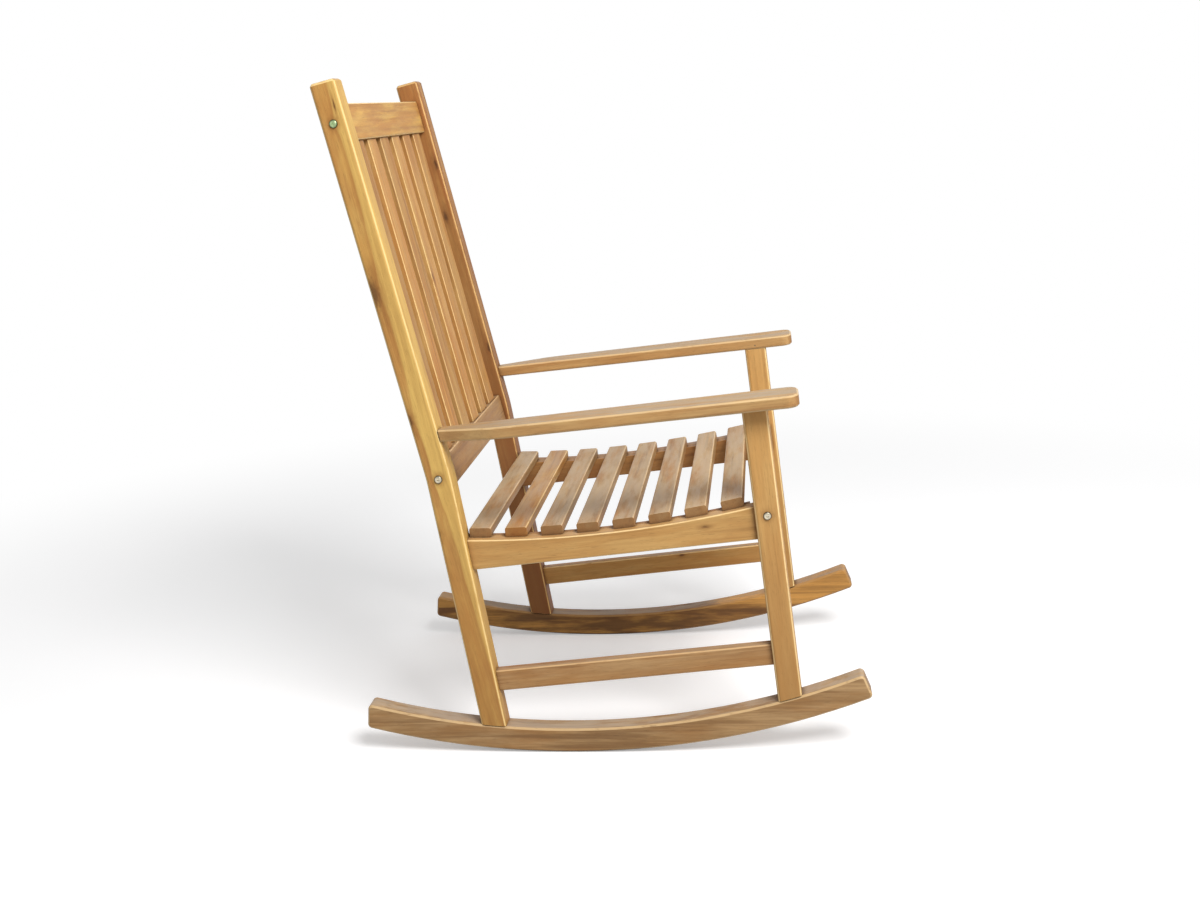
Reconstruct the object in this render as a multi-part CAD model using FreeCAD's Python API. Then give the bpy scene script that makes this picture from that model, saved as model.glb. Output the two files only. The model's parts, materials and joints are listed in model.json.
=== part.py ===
import FreeCAD, Part
import math
import os
from FreeCAD import Vector

# Slatted porch rocking chair in solid wood: two glued side frames joined by three bolted rails,
# a straight slatted back and a scooped slatted seat. Millimetres.
#
# The chair is drawn level, then rocked back to the angle at which it stands by itself.
# Level frame: X across the chair with 0 in the middle and the sitter's left at +X, Y to the rear
# from the front face of the front legs, Z up from the lowest point of the rockers.
# One side frame is drawn at +X and mirrored for the other side.

# Overall layout
frame_width = 606.0  # over the outer faces of the legs
stock_thickness = 43.0  # of legs and posts, across the chair
stock_edge_radius = 6.0
rest_tilt = 5.4  # degrees, how far the empty chair stands rocked back

# Rockers, arcs about a centre straight above rocker_low_y
rocker_radius = 1421.0  # of the under edge
rocker_height = 44.0
rocker_thickness = 41.0
rocker_low_y = 279.4
rocker_rear_angle = 20.2  # degrees of arc behind the lowest point
rocker_front_angle = 16.3
rocker_rear_cut = 9.0  # degrees by which the rear end is cut more upright than square
rocker_corner_radius = 8.0
rocker_bevel = 3.5

# Front legs and rear posts
leg_depth = 42.0
post_depth = 44.0
post_knee_y = 563.0  # where the post's middle lines meet
post_knee_z = 526.0
post_lower_lean = 2.6  # degrees
post_upper_lean = 6.4
post_knee_radius = 380.0
post_top_rise = 673.0  # along the post from the knee to the top
post_top_bevel = 4.0
foot_tenon_width = 18.0
foot_tenon_length = 28.0
foot_tenon_height = 24.0

# Armrests
arm_thickness = 21.0
arm_leg_height = 581.0  # underside, over the middle of the leg
arm_fall = 0.7  # degrees towards the front
arm_overhang = 53.0  # in front of the leg
arm_rear_inset = 1.5  # of the rear end from the post's outer face
arm_rear_width = 28.0
arm_flare_length = 96.0
arm_flare_out = 27.0  # past the leg's outer face where the flare ends
arm_front_out = 31.5  # past the leg's outer face at the front end
arm_front_in = 47.0  # from the leg's outer face to the inner edge at the front end
arm_flare_radius = 120.0
arm_corner_radius = 20.0
arm_bevel = 3.0
arm_tenon_width = 20.0
arm_tenon_length = 24.0
arm_tenon_height = 14.0
arm_rear_tenon_width = 14.0
arm_rear_tenon_height = 12.0
arm_rear_tenon_length = 13.0

# Seat side rails and low side stretchers
rail_bottom_z = 354.0
rail_recess = 13.0  # from the leg's outer face
scoop_radius = 2000.0
scoop_low_y = 302.0
scoop_low_z = 395.0  # top of the side rail at its lowest
rail_bevel = 2.2
rail_tenon_height = 26.0
rail_tenon_thickness = 12.0
stretcher_bottom_z = 129.0
stretcher_height = 38.0
stretcher_thickness = 22.0
stretcher_bevel = 2.2
stretcher_tenon_height = 24.0
stretcher_tenon_thickness = 10.0
side_tenon_length = 14.0

# Bolted cross rails
cross_thickness = 22.0
cross_bevel = 2.0
cross_tenon_thickness = 10.0
cross_tenon_height = 34.0
cross_tenon_length = 10.0
top_rail_height = 61.0
top_rail_drop = 68.5  # of its middle below the post's top, along the post
lower_rail_height = 56.0
lower_rail_rise = -2.0  # of its middle above the knee, along the post
front_rail_height = 56.0
front_rail_middle_z = 397.5

# Back slats
back_slat_count = 6
back_slat_width = 53.0
back_slat_side_gap = 28.5  # between the post and the outermost slat
back_slat_thickness = 12.0
back_slat_bevel = 1.5
tongue_width = 45.0
tongue_thickness = 8.0
tongue_length = 10.0  # held in each rail

# Seat slats and the battens under their ends
seat_slat_count = 8
seat_slat_width = 38.0
seat_slat_thickness = 17.0
seat_slat_front_gap = 16.0  # between the front legs and the front slat
seat_slat_rear_gap = 0.8  # between the rear slat and the posts, level with the lowest slats
seat_slat_inset = 29.0  # of the ends from the legs' outer faces
seat_slat_edge_radius = 4.0  # of the two upper edges
seat_slat_bevel = 1.5  # of the two lower edges
batten_thickness = 12.0
batten_bottom_z = 356.0
batten_extension = 9.0  # past the first and the last slat
batten_bevel = 1.0

# Bolts through the legs, into square nuts in pockets behind the rails
bolt_radius = 3.0
bolt_head_radius = 6.8
bolt_head_height = 3.4
bolt_head_top_radius = 4.0
bolt_socket_width = 3.0  # across flats
bolt_socket_depth = 2.0
nut_width = 10.0
nut_thickness = 5.0
nut_distance = 38.0  # from the rail's shoulder

# Square cut nails
nail_width = 1.6
nail_length = 38.0
nail_depth = 0.5  # of a head below the surface
nail_offset = 10.0  # from the slat's middle
pin_width = 2.4
pin_length = 30.0

# Clearances
joint_gap = 0.2  # round a tenon, tongue or nut
joint_end_gap = 0.5  # past its end
bolt_gap = 0.5  # round a bolt in its hole
close_gap = 0.05  # round a bolt in its nut, and round nails
seat_gap = 0.1  # between pieces that bear on each other without glue

half_width = frame_width / 2
inner_half_width = half_width - stock_thickness
stock_middle_x = half_width - stock_thickness / 2
rail_middle_x = (half_width - rail_recess + inner_half_width) / 2
rocker_top_radius = rocker_radius - rocker_height
leg_middle_y = leg_depth / 2
cross_half_length = inner_half_width - seat_gap
batten_outer_x = inner_half_width - seat_gap
batten_inner_x = batten_outer_x - batten_thickness
nut_middle_x = cross_half_length - nut_distance
top_rail_rise = post_top_rise - top_rail_drop
outer_slat_x = inner_half_width - back_slat_side_gap - back_slat_width / 2
slat_half_length = half_width - seat_slat_inset
spare = 40.0  # by which cutting shapes and raw stock reach past the finished size


# Shapes

def box(x_range, y_range, z_range):
    sizes = [high - low for low, high in (x_range, y_range, z_range)]
    return Part.makeBox(*sizes, Vector(x_range[0], y_range[0], z_range[0]))


def centred_box(middle, sizes):
    return box(*[(m - s / 2, m + s / 2) for m, s in zip(middle, sizes)])


def rod(start, direction, radius, length):
    return Part.makeCylinder(radius, length, Vector(*start), Vector(*direction))


def line(start, end):
    return Part.makeLine(Vector(0, *start), Vector(0, *end))


def arc(start, middle, end):
    return Part.Arc(Vector(0, *start), Vector(0, *middle), Vector(0, *end)).toShape()


def side_board(edges, x_low, x_high):
    # a board between two values of X, from its outline in the YZ plane
    face = Part.Face(Part.Wire(Part.__sortEdges__(edges)))
    face.translate(Vector(x_low, 0, 0))
    return face.extrude(Vector(x_high - x_low, 0, 0))


def mirrored(shape):
    return shape.mirror(Vector(0, 0, 0), Vector(1, 0, 0))


def leaned(shape, degrees, y, z):
    # turned about an axis along X through y, z; positive leans an upright piece to the rear
    moved = shape.copy()
    moved.rotate(Vector(0, y, z), Vector(1, 0, 0), -degrees)
    return moved


def put(shape, place):
    # from the origin to a place given as y, z and lean
    y, z, lean = place
    moved = shape.copy()
    moved.translate(Vector(0, y, z))
    return leaned(moved, lean, y, z)


def along(edge, axis):
    # true for a straight edge parallel to X (0), Y (1) or Z (2)
    if edge.Curve.TypeId != "Part::GeomLine":
        return False
    return abs(edge.Curve.Direction[axis]) > 0.999999


def in_sides(edge, shape):
    # true for an edge in one of the two faces square to X
    bounds = edge.BoundBox
    if bounds.XMax - bounds.XMin > 0.001:
        return False
    return min(abs(bounds.XMin - shape.BoundBox.XMin), abs(bounds.XMax - shape.BoundBox.XMax)) < 0.001


def rounded(shape, radius, edges):
    return shape.makeFillet(radius, edges)


def bevelled(shape, size, edges):
    return shape.makeChamfer(size, edges)


def corner_edges(shape, axis, places):
    # the edges along one axis that pass through the given places of the other two
    others = [i for i in range(3) if i != axis]
    found = []
    for edge in shape.Edges:
        middle = edge.CenterOfMass
        for place in places:
            distance = math.hypot(middle[others[0]] - place[0], middle[others[1]] - place[1])
            if along(edge, axis) and distance < 0.01:
                found.append(edge)
    return found


# Where things are

def on_rocker(radius, degrees):
    angle = math.radians(degrees)
    return rocker_low_y + radius * math.sin(angle), rocker_radius - radius * math.cos(angle)


def rocker_top_z(y):
    return rocker_radius - math.sqrt(rocker_top_radius**2 - (y - rocker_low_y) ** 2)


def above_rocker():
    start = (-half_width, rocker_low_y, rocker_radius)
    return rod(start, (1, 0, 0), rocker_top_radius, frame_width)


def above_scoop():
    start = (-half_width, scoop_low_y, scoop_low_z + scoop_radius)
    return rod(start, (1, 0, 0), scoop_radius, frame_width)


def on_post(rise, lean):
    # a point of the post's middle line, by its distance along the post from the knee
    angle = math.radians(lean)
    return post_knee_y + rise * math.sin(angle), post_knee_z + rise * math.cos(angle)


def post_front_y(z, lean):
    angle = math.radians(lean)
    return post_knee_y + (z - post_knee_z) * math.tan(angle) - post_depth / 2 / math.cos(angle)


def behind_post_front(lean):
    block = box((0, half_width + spare), (-post_depth / 2, post_depth), (-post_top_rise, post_top_rise))
    return put(block, (post_knee_y, post_knee_z, lean))


def post_foot_place():
    # where the post's middle line meets the rocker's top
    drop = (post_knee_z - rocker_height) / math.cos(math.radians(post_lower_lean))
    y = on_post(-drop, post_lower_lean)[0]
    z = rocker_top_z(y)
    return y, z, post_lower_lean


def foot_places():
    return [(leg_middle_y, rocker_top_z(leg_middle_y), 0.0), post_foot_place()]


def top_rail_place():
    return *on_post(top_rail_rise, post_upper_lean), post_upper_lean


def lower_rail_place():
    return *on_post(lower_rail_rise, post_upper_lean), post_upper_lean


def front_rail_place():
    return leg_middle_y, front_rail_middle_z, 0.0


def seat_slat_middle_y(number):
    # evenly spaced from the front legs to the posts
    front = leg_depth + seat_slat_front_gap + seat_slat_width / 2
    rear = post_front_y(scoop_low_z, post_lower_lean) - seat_slat_rear_gap - seat_slat_width / 2
    return front + (rear - front) * number / (seat_slat_count - 1)


def seat_slat_place(number):
    # flat under side on the scoop, touching it along two lines
    y = seat_slat_middle_y(number)
    angle = math.asin((y - scoop_low_y) / scoop_radius)
    half_flat = seat_slat_width / 2 - seat_slat_bevel
    reach = math.sqrt(scoop_radius**2 - half_flat**2) - seat_gap
    z = scoop_low_z + scoop_radius - reach * math.cos(angle)
    return scoop_low_y + reach * math.sin(angle), z, -math.degrees(angle)


def arm_rear_y():
    # where the arm's middle layer meets the post's front face
    lean = math.tan(math.radians(post_upper_lean))
    fall = math.tan(math.radians(arm_fall))
    height = arm_leg_height + arm_thickness / 2
    start = post_front_y(height - leg_middle_y * fall, post_upper_lean)
    return start / (1 - lean * fall)


def arm_inner_x(y):
    rear = half_width - arm_rear_inset - arm_rear_width
    front = half_width - arm_front_in
    share = (arm_rear_y() - y) / (arm_rear_y() + arm_overhang)
    return rear + (front - rear) * share


# Joints: each is drawn as the part that goes in, or with gaps as the hole for it

def arm_tenon(gap, end_gap):
    top = arm_leg_height + arm_tenon_height
    sizes = (arm_tenon_width + 2 * gap, arm_tenon_length + 2 * gap, arm_tenon_height + spare)
    tenon = centred_box((stock_middle_x, leg_middle_y, top - sizes[2] / 2), sizes)
    tenon.translate(Vector(0, 0, end_gap))
    return tenon


def side_tenons(middle_x, thickness, bottom, height, gap, end_gap):
    # in the leg and in the post, drawn as one bar
    reach = side_tenon_length + end_gap
    rear = post_front_y(bottom + height / 2, post_lower_lean) + reach
    sizes = (thickness + 2 * gap, rear - leg_depth + reach, height + 2 * gap)
    middle = (middle_x, (rear + leg_depth - reach) / 2, bottom + height / 2)
    return centred_box(middle, sizes)


def rail_tenons(gap, end_gap):
    bottom = (rail_bottom_z + scoop_low_z - rail_tenon_height) / 2
    return side_tenons(rail_middle_x, rail_tenon_thickness, bottom, rail_tenon_height, gap, end_gap)


def stretcher_tenons(gap, end_gap):
    bottom = stretcher_bottom_z + (stretcher_height - stretcher_tenon_height) / 2
    height = stretcher_tenon_height
    return side_tenons(stock_middle_x, stretcher_tenon_thickness, bottom, height, gap, end_gap)


def cross_joint_holes(place):
    return [cross_tenon(place, joint_gap, joint_end_gap), bolt_hole(place)]


def side_mortises():
    return [rail_tenons(joint_gap, joint_end_gap), stretcher_tenons(joint_gap, joint_end_gap)]


def foot_tenon(place, gap, end_gap):
    x = half_width - rocker_thickness / 2
    sizes = (foot_tenon_width + 2 * gap, foot_tenon_length + 2 * gap, foot_tenon_height + spare + end_gap)
    tenon = centred_box((x, 0, sizes[2] / 2 - foot_tenon_height - end_gap), sizes)
    return put(tenon, place)


def arm_rear_tenon(gap, end_gap):
    fall = math.tan(math.radians(arm_fall))
    x = half_width - arm_rear_inset - arm_rear_width / 2
    z = arm_leg_height + arm_thickness / 2 + (arm_rear_y() - leg_middle_y) * fall
    length = 2 * (arm_rear_tenon_length + end_gap)
    sizes = (arm_rear_tenon_width + 2 * gap, length, arm_rear_tenon_height + 2 * gap)
    return centred_box((x, arm_rear_y(), z), sizes)


def arm_pin(gap, head_reach):
    x = arm_inner_x(leg_middle_y) + nail_depth - head_reach
    length = pin_length + head_reach + gap
    z = arm_leg_height + arm_tenon_height / 2
    width = pin_width + 2 * gap
    return centred_box((x + length / 2, leg_middle_y, z), (length, width, width))


def cross_tenon(place, gap, end_gap):
    x_range = (inner_half_width - spare, cross_half_length + cross_tenon_length + end_gap)
    half_thickness = cross_tenon_thickness / 2 + gap
    half_height = cross_tenon_height / 2 + gap
    tenon = box(x_range, (-half_thickness, half_thickness), (-half_height, half_height))
    return put(tenon, place)


def bolt_hole(place):
    # from outside the leg to the middle of the nut's pocket
    start = (half_width + spare, 0, 0)
    length = start[0] - nut_middle_x
    return put(rod(start, (-1, 0, 0), bolt_radius + bolt_gap, length), place)


def nut_pocket(place):
    # open at the rear face of the rail
    half_thickness = nut_thickness / 2 + joint_gap
    reach = nut_width / 2 + joint_gap
    x_range = (nut_middle_x - half_thickness, nut_middle_x + half_thickness)
    return put(box(x_range, (-reach, cross_thickness), (-reach, reach)), place)


def slat_nails(number, gap, head_reach):
    # at the left end of one seat slat
    width = nail_width + 2 * gap
    length = nail_length + head_reach + gap
    top = seat_slat_thickness - nail_depth + head_reach
    x = batten_outer_x - batten_thickness / 2
    made = []
    for y in (-nail_offset, nail_offset):
        nail = centred_box((x, y, top - length / 2), (width, width, length))
        made.append(put(nail, seat_slat_place(number)))
    return made


# Side frame

def rocker():
    rear = rocker_rear_angle
    front = -rocker_front_angle
    overhang = rocker_height * math.tan(math.radians(rocker_rear_cut))
    top_rear = rear + math.degrees(overhang / rocker_top_radius)
    middle = (rear + front) / 2
    under = [on_rocker(rocker_radius, a) for a in (front, middle, rear)]
    over = [on_rocker(rocker_top_radius, a) for a in (top_rear, middle, front)]
    edges = [arc(*under), line(under[2], over[0]), arc(*over), line(over[2], under[0])]
    shape = side_board(edges, half_width - rocker_thickness, half_width)
    corners = [under[0], under[2], over[0], over[2]]
    shape = rounded(shape, rocker_corner_radius, corner_edges(shape, 0, corners))
    shape = bevelled(shape, rocker_bevel, [e for e in shape.Edges if in_sides(e, shape)])
    return shape.cut([foot_tenon(p, joint_gap, joint_end_gap) for p in foot_places()])


def front_leg():
    raw = box((inner_half_width, half_width), (0, leg_depth), (0, arm_leg_height + spare))
    raw = rounded(raw, stock_edge_radius, [e for e in raw.Edges if along(e, 2)])
    arm_space = box((0, half_width + spare), (-spare, leg_depth + spare), (0, 2 * spare))
    arm_space = put(arm_space, (leg_middle_y, arm_leg_height, -arm_fall))
    shape = raw.common(above_rocker()).cut(arm_space)
    shape = shape.fuse([foot_tenon(foot_places()[0], 0, 0), arm_tenon(0, 0)]).removeSplitter()
    holes = side_mortises() + cross_joint_holes(front_rail_place()) + [arm_pin(close_gap, 0)]
    return shape.cut(holes)


def post_outline():
    # from below the rocker's top to the square top end, with an arc at the knee
    half_turn = math.radians(post_upper_lean - post_lower_lean) / 2
    lean = math.radians(post_upper_lean + post_lower_lean) / 2
    half_bend = post_knee_radius * math.tan(half_turn)
    reach = post_knee_radius / math.cos(half_turn)
    centre_y = post_knee_y + reach * math.cos(lean)
    centre_z = post_knee_z - reach * math.sin(lean)

    def beside(rise, degrees, side):
        y, z = on_post(rise, degrees)
        angle = math.radians(degrees)
        return y + side * math.cos(angle), z - side * math.sin(angle)

    edges = []
    ends = []
    for side in (-post_depth / 2, post_depth / 2):
        foot = beside(-post_knee_z, post_lower_lean, side)
        bend_start = beside(-half_bend, post_lower_lean, side)
        bend_end = beside(half_bend, post_upper_lean, side)
        top = beside(post_top_rise, post_upper_lean, side)
        radius = post_knee_radius - side
        bend_middle = (centre_y - radius * math.cos(lean), centre_z + radius * math.sin(lean))
        edges += [line(foot, bend_start), arc(bend_start, bend_middle, bend_end), line(bend_end, top)]
        ends.append((foot, top))
    return edges + [line(ends[0][0], ends[1][0]), line(ends[0][1], ends[1][1])]


def rear_post():
    raw = side_board(post_outline(), inner_half_width, half_width)
    long_edges = [e for e in raw.Edges if in_sides(e, raw) and e.BoundBox.ZLength > post_depth / 2]
    raw = rounded(raw, stock_edge_radius, long_edges)
    flat_ends = [f for f in raw.Faces if f.BoundBox.ZLength < post_depth / 2 and len(f.Edges) == 8]
    top = max(flat_ends, key=lambda f: f.CenterOfMass.z)
    shape = bevelled(raw, post_top_bevel, top.Edges).common(above_rocker())
    shape = shape.fuse(foot_tenon(post_foot_place(), 0, 0)).removeSplitter()
    holes = side_mortises() + [arm_rear_tenon(joint_gap, joint_end_gap)]
    holes += cross_joint_holes(top_rail_place()) + cross_joint_holes(lower_rail_place())
    return shape.cut(holes)


def armrest():
    rear = arm_rear_y() + spare
    rear_outer = half_width - arm_rear_inset
    flare = (half_width + arm_flare_out, arm_rear_y() - arm_flare_length)
    front_outer = (half_width + arm_front_out, -arm_overhang)
    front_inner = (half_width - arm_front_in, -arm_overhang)
    outline = [
        (arm_inner_x(rear), rear),
        (rear_outer, rear),
        (rear_outer, arm_rear_y()),
        flare,
        front_outer,
        front_inner,
    ]
    points = [Vector(x, y, 0) for x, y in outline]
    board = Part.Face(Part.makePolygon(points + points[:1])).extrude(Vector(0, 0, arm_thickness))
    board = rounded(board, arm_flare_radius, corner_edges(board, 2, [outline[2], flare]))
    board = rounded(board, arm_corner_radius, corner_edges(board, 2, [front_outer, front_inner]))
    rims = [e for e in board.Edges if e.BoundBox.ZLength < 0.001 and e.BoundBox.YMin < rear - 1]
    board = bevelled(board, arm_bevel, rims)
    board.translate(Vector(0, -leg_middle_y, 0))
    shape = put(board, (leg_middle_y, arm_leg_height, -arm_fall))
    shape = shape.cut(behind_post_front(post_upper_lean)).fuse(arm_rear_tenon(0, 0))
    return shape.cut([arm_tenon(joint_gap, joint_end_gap), arm_pin(close_gap, spare)])


def seat_side_rail():
    x_range = (inner_half_width, half_width - rail_recess)
    raw = box(x_range, (leg_depth, post_knee_y), (rail_bottom_z, scoop_low_z + 2 * spare))
    raw = raw.cut(above_scoop())
    long_edges = [e for e in raw.Edges if in_sides(e, raw) and not along(e, 2)]
    shape = bevelled(raw, rail_bevel, long_edges)
    return shape.cut(behind_post_front(post_lower_lean)).fuse(rail_tenons(0, 0))


def side_stretcher():
    sizes = (stretcher_thickness, post_knee_y - leg_depth, stretcher_height)
    middle = (stock_middle_x, leg_depth + sizes[1] / 2, stretcher_bottom_z + sizes[2] / 2)
    raw = centred_box(middle, sizes)
    shape = bevelled(raw, stretcher_bevel, [e for e in raw.Edges if along(e, 1)])
    return shape.cut(behind_post_front(post_lower_lean)).fuse(stretcher_tenons(0, 0))


# Seat

def seat_batten():
    reach = seat_slat_width / 2 + batten_extension
    y_range = (seat_slat_middle_y(0) - reach, seat_slat_middle_y(seat_slat_count - 1) + reach)
    raw = box((batten_inner_x, batten_outer_x), y_range, (batten_bottom_z, scoop_low_z + 2 * spare))
    raw = raw.cut(above_scoop())
    long_edges = [e for e in raw.Edges if in_sides(e, raw) and not along(e, 2)]
    shape = bevelled(raw, batten_bevel, long_edges)
    holes = []
    for number in range(seat_slat_count):
        holes += slat_nails(number, close_gap, 0)
    return shape.cut(holes)


def seat_slat(number):
    sizes = (2 * slat_half_length, seat_slat_width, seat_slat_thickness)
    raw = centred_box((0, 0, seat_slat_thickness / 2), sizes)
    upper = [e for e in raw.Edges if along(e, 0) and e.CenterOfMass.z > seat_slat_thickness / 2]
    raw = rounded(raw, seat_slat_edge_radius, upper)
    lower = [e for e in raw.Edges if along(e, 0) and e.CenterOfMass.z < 0.001]
    raw = bevelled(raw, seat_slat_bevel, lower)
    shape = put(raw, seat_slat_place(number))
    holes = slat_nails(number, close_gap, spare)
    return shape.cut(holes + [mirrored(h) for h in holes])


# Bolted rails and back slats

def cross_rail(height, place):
    sizes = (2 * cross_half_length, cross_thickness, height)
    raw = centred_box((0, 0, 0), sizes)
    shape = put(bevelled(raw, cross_bevel, [e for e in raw.Edges if along(e, 0)]), place)
    tenon = cross_tenon(place, 0, 0)
    holes = [bolt_hole(place), nut_pocket(place)]
    return shape.fuse([tenon, mirrored(tenon)]).cut(holes + [mirrored(h) for h in holes])


def slat_x(number):
    # numbered from the sitter's right
    return (2 * number / (back_slat_count - 1) - 1) * outer_slat_x


def back_slat_ends():
    bottom = lower_rail_rise + lower_rail_height / 2
    top = top_rail_rise - top_rail_height / 2
    return bottom, top


def slat_tongues(number, gap, end_gap):
    # in both back rails, drawn as one bar
    bottom, top = back_slat_ends()
    length = top - bottom + 2 * (tongue_length + end_gap)
    sizes = (tongue_width + 2 * gap, tongue_thickness + 2 * gap, length)
    bar = centred_box((slat_x(number), 0, (top + bottom) / 2), sizes)
    return put(bar, (post_knee_y, post_knee_z, post_upper_lean))


def back_slat(number):
    bottom, top = back_slat_ends()
    sizes = (back_slat_width, back_slat_thickness, top - bottom)
    raw = centred_box((slat_x(number), 0, (top + bottom) / 2), sizes)
    raw = bevelled(raw, back_slat_bevel, [e for e in raw.Edges if along(e, 2)])
    shape = put(raw, (post_knee_y, post_knee_z, post_upper_lean))
    return shape.fuse(slat_tongues(number, 0, 0))


# Fasteners

def bolt(place):
    # ends flush with the nut
    sizes = (bolt_head_radius, bolt_head_top_radius, bolt_head_height)
    head = Part.makeCone(*sizes, Vector(half_width, 0, 0), Vector(1, 0, 0))
    length = half_width - nut_middle_x + nut_thickness / 2
    shank = rod((half_width, 0, 0), (-1, 0, 0), bolt_radius, length)
    corner = bolt_socket_width / 2 / math.cos(math.pi / 6)
    x = half_width + bolt_head_height - bolt_socket_depth
    angles = [i * math.pi / 3 for i in range(6)]
    points = [Vector(x, corner * math.cos(a), corner * math.sin(a)) for a in angles]
    socket = Part.Face(Part.makePolygon(points + points[:1])).extrude(Vector(bolt_head_height, 0, 0))
    return put(head.fuse(shank).cut(socket), place)


def square_nut(place):
    block = centred_box((nut_middle_x, 0, 0), (nut_thickness, nut_width, nut_width))
    bore = rod((0, 0, 0), (1, 0, 0), bolt_radius + close_gap, half_width)
    return put(block.cut(bore), place)


# The whole chair, level

def level_parts():
    made = {}
    sides = {
        "rocker": rocker(),
        "front_leg": front_leg(),
        "rear_post": rear_post(),
        "armrest": armrest(),
        "seat_side_rail": seat_side_rail(),
        "side_stretcher": side_stretcher(),
        "seat_batten": seat_batten(),
    }
    for name, shape in sides.items():
        made[name + "_left"] = shape
        made[name + "_right"] = mirrored(shape)

    mortises = [slat_tongues(i, joint_gap, joint_end_gap) for i in range(back_slat_count)]
    made["top_back_rail"] = cross_rail(top_rail_height, top_rail_place()).cut(mortises)
    made["lower_back_rail"] = cross_rail(lower_rail_height, lower_rail_place()).cut(mortises)
    made["front_seat_rail"] = cross_rail(front_rail_height, front_rail_place())
    for number in range(back_slat_count):
        made["back_slat_%d" % (number + 1)] = back_slat(number)
    for number in range(seat_slat_count):
        made["seat_slat_%d" % (number + 1)] = seat_slat(number)

    rail_places = [top_rail_place(), lower_rail_place(), front_rail_place()]
    groups = {
        "frame_bolts": [bolt(p) for p in rail_places],
        "square_nuts": [square_nut(p) for p in rail_places],
        "arm_pins": [arm_pin(0, 0)],
        "seat_nails": [n for i in range(seat_slat_count) for n in slat_nails(i, 0, 0)],
    }
    for name, shapes in groups.items():
        made[name] = Part.makeCompound(shapes + [mirrored(s) for s in shapes])
    return made


def stand_at_rest(parts):
    # rocked back about the rockers' centre, then moved so that the chair is centred on the origin
    placed = {n: leaned(s, rest_tilt, rocker_low_y, rocker_radius) for n, s in parts.items()}
    bounds = [placed[n].optimalBoundingBox(False, False) for n in ("rocker_left", "rear_post_left")]
    middle = (min(b.YMin for b in bounds) + max(b.YMax for b in bounds)) / 2
    for shape in placed.values():
        shape.translate(Vector(0, -middle, 0))
    return placed


os.makedirs("parts", exist_ok=True)
for part_name, part_shape in stand_at_rest(level_parts()).items():
    part_shape.exportStep("parts/%s.step" % part_name)
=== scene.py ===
import json
import math
import random

import bmesh
import bpy
from mathutils import Matrix, Vector

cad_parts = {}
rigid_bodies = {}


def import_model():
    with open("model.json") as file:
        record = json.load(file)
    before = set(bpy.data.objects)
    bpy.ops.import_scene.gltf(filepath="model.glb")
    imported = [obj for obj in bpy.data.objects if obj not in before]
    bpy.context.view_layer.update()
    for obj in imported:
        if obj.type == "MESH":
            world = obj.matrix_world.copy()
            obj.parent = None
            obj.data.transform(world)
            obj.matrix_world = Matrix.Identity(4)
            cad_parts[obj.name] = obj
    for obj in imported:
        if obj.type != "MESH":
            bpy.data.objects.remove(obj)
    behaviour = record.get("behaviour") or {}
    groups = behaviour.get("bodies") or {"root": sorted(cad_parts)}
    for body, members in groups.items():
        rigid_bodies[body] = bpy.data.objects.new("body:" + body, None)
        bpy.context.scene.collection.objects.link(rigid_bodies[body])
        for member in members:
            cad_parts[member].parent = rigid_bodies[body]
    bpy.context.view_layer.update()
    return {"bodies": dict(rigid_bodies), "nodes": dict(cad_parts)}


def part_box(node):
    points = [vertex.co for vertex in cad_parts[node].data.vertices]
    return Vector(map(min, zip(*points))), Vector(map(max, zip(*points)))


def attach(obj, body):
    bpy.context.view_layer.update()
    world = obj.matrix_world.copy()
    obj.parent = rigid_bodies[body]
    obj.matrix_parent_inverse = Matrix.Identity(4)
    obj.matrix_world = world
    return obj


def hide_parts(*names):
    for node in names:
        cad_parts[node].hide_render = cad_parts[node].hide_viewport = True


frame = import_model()

# Slatted porch rocking chair in oiled hardwood. Metres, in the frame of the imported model:
# the chair faces -Y, the sitter's left is +X, and the floor is at Z 0.

nodes = frame["nodes"]

for item in list(bpy.data.objects):
    if item not in nodes.values() and item not in frame["bodies"].values():
        bpy.data.objects.remove(item)  # what a new file starts with


# Small helpers

def tint(red, green, blue):  # 0 to 255, as a colour picker shows it
    channels = [c / 255 for c in (red, green, blue)]
    return [c / 12.92 if c < 0.04045 else ((c + 0.055) / 1.055) ** 2.4 for c in channels] + [1.0]


def shaded(colour, share):
    return [c * share for c in colour[:3]] + [1.0]


def feed(tree, socket, value):  # a socket takes a link or a plain value
    if isinstance(value, bpy.types.NodeSocket):
        tree.links.new(value, socket)
    else:
        socket.default_value = value


def mathStep(tree, operation, *values):
    step = tree.nodes.new("ShaderNodeMath")
    step.operation = operation
    for socket, value in zip(step.inputs, values):
        feed(tree, socket, value)
    return step.outputs[0]


def product(tree, first, *others):
    for other in others:
        first = mathStep(tree, "MULTIPLY", first, other)
    return first


def opposite(tree, mask):
    return mathStep(tree, "SUBTRACT", 1.0, mask)


def vectorStep(tree, operation, *values):
    step = tree.nodes.new("ShaderNodeVectorMath")
    step.operation = operation
    for socket, value in zip(step.inputs, values):
        feed(tree, socket, value)
    return step.outputs["Value" if operation in ("LENGTH", "DOT_PRODUCT") else "Vector"]


def softStep(tree, value, low, high):  # 0 below low, 1 above high, smooth between
    step = tree.nodes.new("ShaderNodeMapRange")
    step.interpolation_type = "SMOOTHSTEP"
    feed(tree, step.inputs["Value"], value)
    feed(tree, step.inputs["From Min"], low)
    feed(tree, step.inputs["From Max"], high)
    return step.outputs["Result"]


def noiseStep(tree, vector, detail=2.0, roughness=0.5, output="Fac"):
    step = tree.nodes.new("ShaderNodeTexNoise")
    feed(tree, step.inputs["Vector"], vector)
    step.inputs["Scale"].default_value = 1.0
    step.inputs["Detail"].default_value = detail
    step.inputs["Roughness"].default_value = roughness
    return step.outputs[output]


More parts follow.
